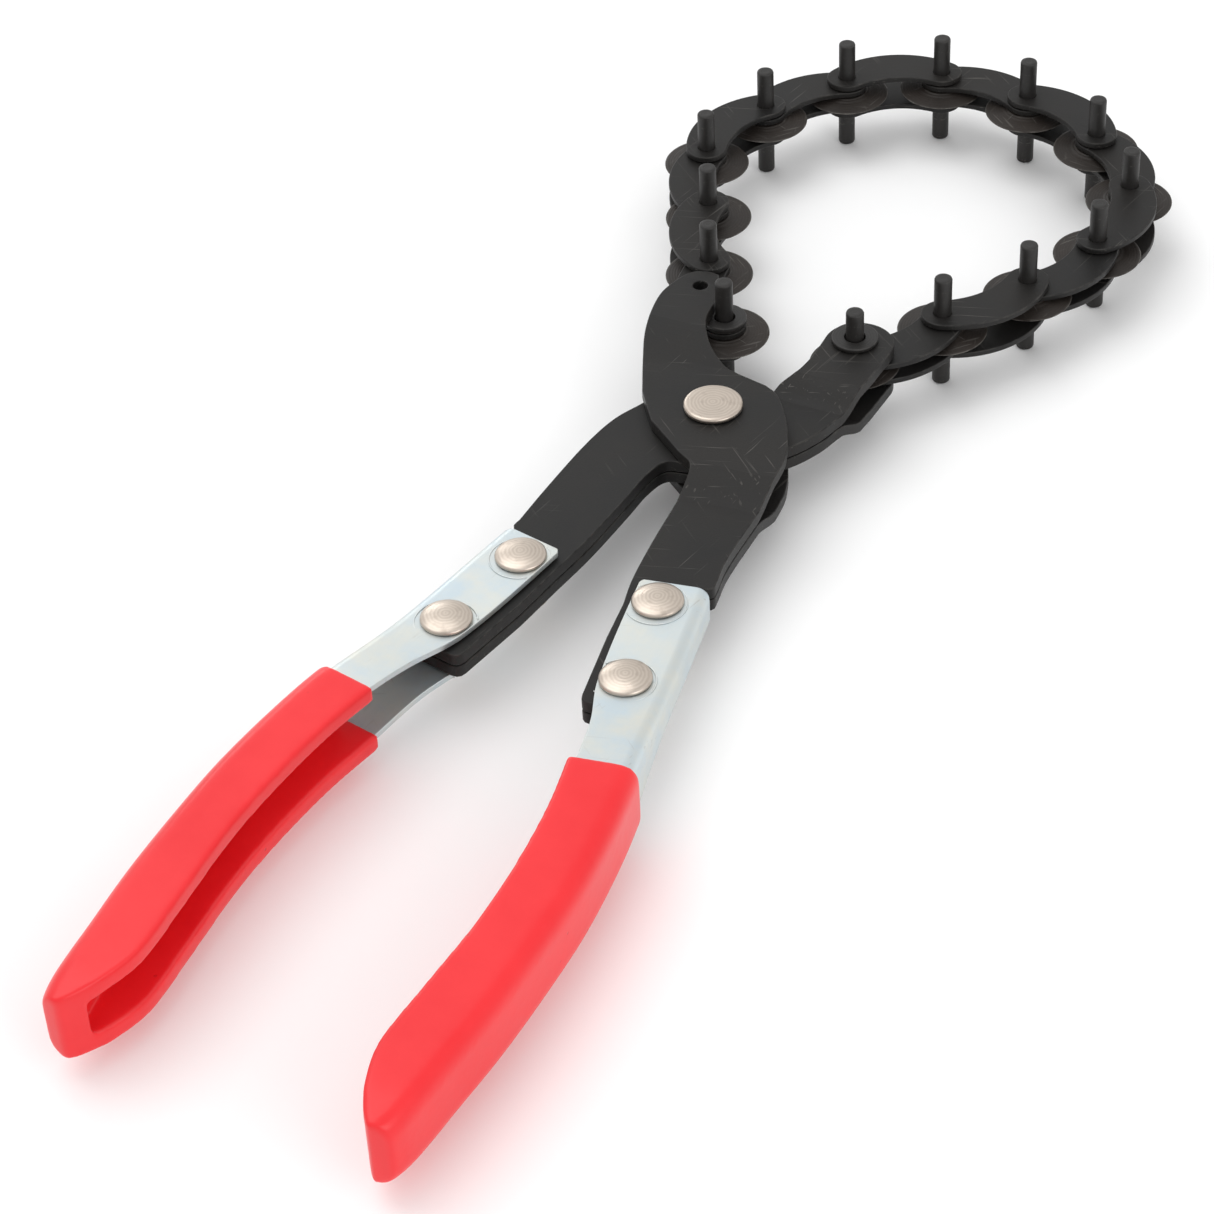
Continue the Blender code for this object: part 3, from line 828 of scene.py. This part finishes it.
jaw_outline = (
    smooth_run([(-6.4, 11.0), (-12.0, 7.6), (-16.0, -1.0), (-19.0, -8.0), (-20.7, -18.0),
                (-21.7, -33.0), on_handle("left", -10.5, 8.9)])
    + tang("left")
    + smooth_run([(-8.5, -55.0), (-6.8, -44.0), (-5.5, -30.0), (-4.9, -22.0), (-3.2, -16.7),
                  (1.0, -15.4)])
    + smooth_run([(8.0, -14.6), (17.4, -3.7), (21.4, 3.3), (23.2, 9.0), (24.8, 15.0),
                  (25.7, 22.0)])
    + arc((19.0, 31.7), 7.3, 0, 180, 32)
    + smooth_run([(11.8, 24.0), (10.8, 18.0), (8.6, 14.4), (7.3, 11.8), (3.5, 10.6)]))

hook_outline = (
    smooth_run([(-17.2, 41.3), (-20.0, 41.5), (-23.2, 39.7), (-25.4, 34.0), (-25.7, 28.0),
                (-23.7, 18.2), (-20.5, 10.0), (-16.0, 0.0)])
    + smooth_run([(-10.0, -8.5), (-1.0, -15.5), (3.4, -19.0), (4.2, -27.0), (5.0, -40.0),
                  (6.2, -52.0), on_handle("right", 0.0, -7.0)])
    + tang("right")[::-1]
    + smooth_run([on_handle("right", -10.5, 8.9), (20.7, -38.0), (20.6, -15.0), (19.0, -6.0),
                  (15.0, 2.5), (10.5, 8.8), (7.0, 11.0)])
    + smooth_run([(0.0, 12.6), (-3.8, 14.0), (-9.3, 18.9), (-13.0, 25.5), (-13.9, 31.6),
                  (-15.7, 37.0)]))

ARM_PLATE = 2.6                 # thickness
JAW_LEVEL, HOOK_LEVEL = 0.15, 3.05  # inner faces of the plates at the pivot
JAW_SPREAD, HOOK_SPREAD = 2.95, 1.65  # how far the plates open in front of it
PIVOT_HOLE = 4.3
NOSE_HOLE, NOSE_HOLE_AT = 1.6, (-19.2, 36.2)


def jaw_bend(work):
    fold(work, ((30, 11.0), (0, 11.0)), ((30, 17.5), (0, 17.5)), JAW_SPREAD)


def hook_bend(work):
    fold(work, ((-4.6, 12.6), (-30, 6.1)), ((0, 22.7), (-30, 22.7)), HOOK_SPREAD)
    fold(work, ((2, -19.2), (24, -15.6)), ((2, -27.7), (24, -24.1)), JAW_LEVEL - HOOK_LEVEL)


jaw_pin = tuple(((PINS[-1] - PIVOT) / MM)[:2])
for name, rim_line, end_hole, level, bend in (
        ("jaw_arm", jaw_outline, circle(jaw_pin, PIN_HOLE), JAW_LEVEL, jaw_bend),
        ("hook_arm", hook_outline, circle(NOSE_HOLE_AT, NOSE_HOLE), HOOK_LEVEL, hook_bend)):
    rings = [rim_line, circle((0, 0), PIVOT_HOLE), end_hole]
    for label, lower in (("upper", False), ("lower", True)):
        mesh = punch(f"{name}_steel_{label}", rings, (level, level + ARM_PLATE), bend, lower)
        even_shading(place_piece(mesh.name, mesh, black_steel, name,
                                 [f"{name}_plate_{label}"]))
    print(name, "plate faces:", len(mesh.polygons))

# %% [markdown]
# ## Rivets
#
# The pivot rivet has a wide, almost flat head at each face. Those of the handles
# are smaller low domes. Both are thin at the rim, where the punch let the metal
# flow, and sit on the plates without a gap.

# %% Turn the rivets
half_pivot = [(4.0, 5.95), (5.85, 5.95), (6.05, 6.05), (6.1, 6.35), (6.06, 6.72),
              (5.9, 6.96), (5.6, 7.08), (4.6, 7.16), (2.6, 7.2), (0, 7.2)]
half_rivet = [(2.6, 4.62), (4.9, 4.62), (5.06, 4.74), (5.1, 5.0), (5.03, 5.22),
              (4.82, 5.42), (4.2, 5.66), (3.1, 5.94), (1.7, 6.13), (0, 6.2)]


def make_rivet(name, half, body, node, spin):
    mesh = lathe(name, both_ways(half), 80)
    even_shading(place_piece(name, mesh, nickel, body, [node], middle(node),
                             spin))


make_rivet("pivot_rivet_head", half_pivot, "jaw_arm", "pivot_rivet", 0.6)
for label, body, spin in (("left", "jaw_arm", 1.9), ("right", "hook_arm", 4.4)):
    for where in ("front", "rear"):
        make_rivet(f"{label}_handle_rivet_{where}", half_rivet, body, f"{label}_rivet_{where}",
                   spin + (where == "rear") * 2.2)
print("rivets made")

# %% [markdown]
# ## The handles
#
# A handle is a channel of bent sheet: two flanges and a web between them, open
# towards the other handle. Its height and its two edges change along its length, so
# it is described by three short tables and drawn as a skin of cross sections.
# Solidify gives the skin the thickness of the sheet, and a small bevel breaks its
# edges. The tables are the same as in the CAD model.

# %% Tables of the channel
NOSE = 137.7
FRONT = -6.0
GRIP_FRONT = 48.0
SHEET = 1.3
VINYL = 1.3                     # how far the vinyl stands out from the metal
INSIDE = 2.6                    # sheet and vinyl together, inside the channel
BEND = 2.4                      # outer radius between web and flange
FLANGE_LEVEL = 4.55             # half height where the rivets are
WEB = ((FRONT, 8.5), (-5, 8.8), (36, 8.5), (48, 8.6), (62, 8.3), (78, 6.9), (92, 4.5),
       (108, 1.1), (122, -2.7), (130, -5.0), (135, -6.7), (NOSE, -8.2))
OPEN_EDGE = ((FRONT, -4.4), (-5, -5.1), (24, -5.1), (36, -3.0), (48, -2.3), (62, -2.2),
             (78, -3.6), (92, -5.9), (108, -9.9), (122, -13.2), (130, -12.6),
             (135, -11.0), (NOSE, -9.5))
HALF_HEIGHT = ((FRONT, FLANGE_LEVEL), (-5, FLANGE_LEVEL), (27, FLANGE_LEVEL), (48, 6.6),
               (62, 6.7), (130, 6.7), (NOSE, 6.2))


def eased(table, u):
    """The value at u on a smooth run through the pairs of a table."""
    last = len(table) - 1
    i = max([k for k in range(last) if table[k][0] <= u] or [0])

    def slope(k):
        (u0, v0), (u1, v1) = table[max(k - 1, 0)], table[min(k + 1, last)]
        return (v1 - v0) / (u1 - u0)

    (u0, v0), (u1, v1) = table[i], table[i + 1]
    t = min(max((u - u0) / (u1 - u0), 0), 1)
    reach = u1 - u0
    return (v0 * (1 + 2 * t) * (1 - t)**2 + slope(i) * reach * t * (1 - t)**2
            + v1 * t * t * (3 - 2 * t) + slope(i + 1) * reach * t * t * (t - 1))


print("half height where the hand sits:", round(eased(HALF_HEIGHT, 90), 2), "mm")

# %% Skin the metal channel
def channel_point(label, u, v, z):
    """A place in metres from the pivot."""
    return Vector((*on_handle(label, u, v), z)) * MM


def steps_between(first, last, step):
    count = max(round((last - first) / step), 1)
    return [first + (last - first) * i / count for i in range(count + 1)]


def skin(name, rows, closed=False):
    """A mesh from equal rows of points; closed makes each row a ring and caps both ends."""
    n = len(rows[0])
    faces = [(r * n + i, r * n + (i + 1) % n, (r + 1) * n + (i + 1) % n, (r + 1) * n + i)
             for r in range(len(rows) - 1) for i in range(n if closed else n - 1)]
    if closed:
        faces += [tuple(range(n)), tuple(range((len(rows) - 1) * n, len(rows) * n))]
    mesh = bpy.data.meshes.new(name)
    mesh.from_pydata([p for row in rows for p in row], [], faces)
    return outward(mesh)


IN_GRIP = 7                     # how far the channel is drawn into the grip, mm


def channel_row(label, u):
    """The outer face of the sheet at one station, from lip to lip."""
    web, edge, half = (eased(table, u) for table in (WEB, OPEN_EDGE, HALF_HEIGHT))
    flange = [(edge + (web - BEND - edge) * i / 6, half) for i in range(6)]
    top = flange + arc((web - BEND, half - BEND), BEND, 90, 0, 8)
    wall = [(web, (half - BEND) * (1 - 2 * i / 6)) for i in range(1, 6)]
    run = top + wall + [(v, -z) for v, z in top[::-1]]
    return [channel_point(label, u, v, z) for v, z in run]


def make_channel(label, body):
    stations = [FRONT, -5.75, -5.4, -5.0] + steps_between(-3.0, GRIP_FRONT + IN_GRIP, 2.0)
    mesh = skin(f"{label}_zinc_channel", [channel_row(label, u) for u in stations])
    web_face = min(mesh.polygons, key=lambda face: abs(face.center.z))
    if web_face.normal.dot(HANDLES[label][2]) < 0:
        mesh.flip_normals()
    item = place_piece(mesh.name, mesh, zinc, body, [f"{label}_handle"])
    sheet = item.modifiers.new("sheet", "SOLIDIFY")
    sheet.thickness = SHEET * MM
    sheet.offset = -1
    sheet.use_even_offset = True
    rim = item.modifiers.new("rim", "BEVEL")
    rim.width = 0.18 * MM
    rim.segments = 3
    rim.limit_method = "ANGLE"
    rim.angle_limit = math.radians(50)
    even_shading(item)


make_channel("left", "jaw_arm")
make_channel("right", "hook_arm")
print("zinc channels made")

# %% [markdown]
# ## Press marks round the rivets
#
# The tool that closed the handle rivets left a thin ring in the soft zinc, a little
# off centre, which stops at the open edge of the flange. It is a raised lip only a
# few hundredths of a millimetre high, made from small half-round sections.

# %% Press marks
MARK_RADIUS, MARK_HALF_WIDTH, MARK_HEIGHT = 6.1, 0.14, 0.09
SUNK = 0.02                     # how deep the foot of a mark lies in the sheet
OFF_CENTRE = (0.45, -0.2)
REAR_RIVET = 22.7               # u of the rear rivet
FLANGE_EDGE = -4.85             # v where the marks stop, just inside the sheet's edge


def make_mark(label, where, side, body):
    """A ring on one flange, open where the sheet ends."""
    u0, v0 = OFF_CENTRE
    if where == "rear":
        u0 += REAR_RIVET
    limit = math.degrees(math.asin((FLANGE_EDGE - v0) / MARK_RADIUS))
    rows = []
    for degrees in steps_between(limit, 180 - limit, 5):
        a = math.radians(degrees)
        row = []
        for k in range(5):
            b = math.pi * k / 4
            r = MARK_RADIUS + MARK_HALF_WIDTH * math.cos(b)
            z = FLANGE_LEVEL - SUNK + MARK_HEIGHT * math.sin(b)
            row.append(channel_point(label, u0 + r * math.cos(a), v0 + r * math.sin(a),
                                     side * z))
        rows.append(row)
    level = "upper" if side > 0 else "lower"
    mesh = skin(f"{label}_press_mark_{where}_{level}", rows, closed=True)
    place_piece(mesh.name, mesh, zinc, body, [])


for label, body in (("left", "jaw_arm"), ("right", "hook_arm")):
    for where in ("front", "rear"):
        for side in (1, -1):
            make_mark(label, where, side, body)
print("press marks made")

# %% [markdown]
# ## The dipped grips
#
# Dipping leaves no sharp edge anywhere: the vinyl rounds over the lips of the
# channel and pools at the closed end. Modelling such a skin by hand is slow. It is
# quicker to cut a plain block with the plain hollow of the channel, remesh the
# result into small even cells, and let a smooth modifier relax the cells until all
# the edges are round.

# %% Block and hollow of a grip
CELL = 0.33                     # size of a remeshed cell, mm
RELAX = 40                      # rounds of smoothing
NOSE_STARTS = 122               # behind this the web curls round the end
HOLLOW_ENDS = 136.3             # the hollow stops here and leaves the wall of the nose
SIDEWAYS = 8                    # how far the hollow runs out of the open side
LEAD = 4                        # and how far out of the front
LEAST_BEND, BEND_ROOM = 0.4, 0.2  # keep the rounded corner of a section valid


def grip_row(label, station, grow, opened):
    """One cross section of the block, or of the hollow when it is opened."""
    web, edge, half = (eased(table, station) for table in (WEB, OPEN_EDGE, HALF_HEIGHT))
    curl = min(max((station - NOSE_STARTS) / (NOSE - NOSE_STARTS), 0), 1)
    web, half, edge, u = web + grow, half + grow, edge - grow, station + grow * curl
    if opened:
        edge -= SIDEWAYS
    bend = min(max(BEND + grow, LEAST_BEND), web - edge - BEND_ROOM)
    profile = [(edge, half), *arc((web - bend, half - bend), bend, 90, 0, 8)]
    profile += [(v, -z) for v, z in profile[::-1]]
    return [channel_point(label, u, v, z) for v, z in profile]


def block(name, label, first, grow, opened=False):
    """A closed solid through the cross sections from first to the nose."""
    last = HOLLOW_ENDS if opened else NOSE
    rows = [grip_row(label, u, grow, opened) for u in steps_between(first, last, 1.5)]
    item = bpy.data.objects.new(name, skin(name, rows, closed=True))
    bpy.context.collection.objects.link(item)
    return item


def make_grip(label, body):
    vinyl_block = block(f"{label}_block", label, GRIP_FRONT, VINYL)
    hollow = block(f"{label}_hollow", label, GRIP_FRONT - LEAD, -INSIDE, opened=True)
    cut = vinyl_block.modifiers.new("hollow", "BOOLEAN")
    cut.object = hollow
    cut.solver = "EXACT"
    cells = vinyl_block.modifiers.new("cells", "REMESH")
    cells.mode = "VOXEL"
    cells.voxel_size = CELL * MM
    relax = vinyl_block.modifiers.new("relax", "SMOOTH")
    relax.factor = 0.5
    relax.iterations = RELAX
    mesh = applied(vinyl_block)
    bpy.data.objects.remove(hollow)
    mesh.name = f"{label}_vinyl_grip"
    place_piece(mesh.name, mesh, vinyl, body, [f"{label}_grip"])
    print(mesh.name, "faces:", len(mesh.polygons))


make_grip("left", "jaw_arm")
make_grip("right", "hook_arm")

# %% [markdown]
# ## The floor
#
# A plain pale table top. It has a very soft mottling, so that the shadow falls on a
# surface and not on nothing. It isn't part of the tool.

# %% Lay the floor
FLOOR_REACH = 3.0               # metres from the middle
BELOW = 0.0001                  # metres under the tool

paper, tree, shader = new_material("pale_floor", Specular_IOR_Level=0.2)
cloud = put_group(tree, smudges, Scale=6.0)
colour = blend_colours(tree, cloud["Clouds"], (0.93, 0.93, 0.93), (0.95, 0.95, 0.95))
rough = remap(tree, cloud["Clouds"], 0, 1, 0.7, 0.8)
dress(tree, shader, colour, rough, cloud["Grain"], 0.00002)
corners = [(x * FLOOR_REACH, y * FLOOR_REACH, 0)
           for x, y in ((-1, -1), (1, -1), (1, 1), (-1, 1))]
floor_mesh = bpy.data.meshes.new("floor")
floor_mesh.from_pydata(corners, [], [(0, 1, 2, 3)])
floor_mesh.materials.append(paper)
floor = bpy.data.objects.new("floor", floor_mesh)
floor.location.z = cad_box[0][2] - BELOW
bpy.context.collection.objects.link(floor)
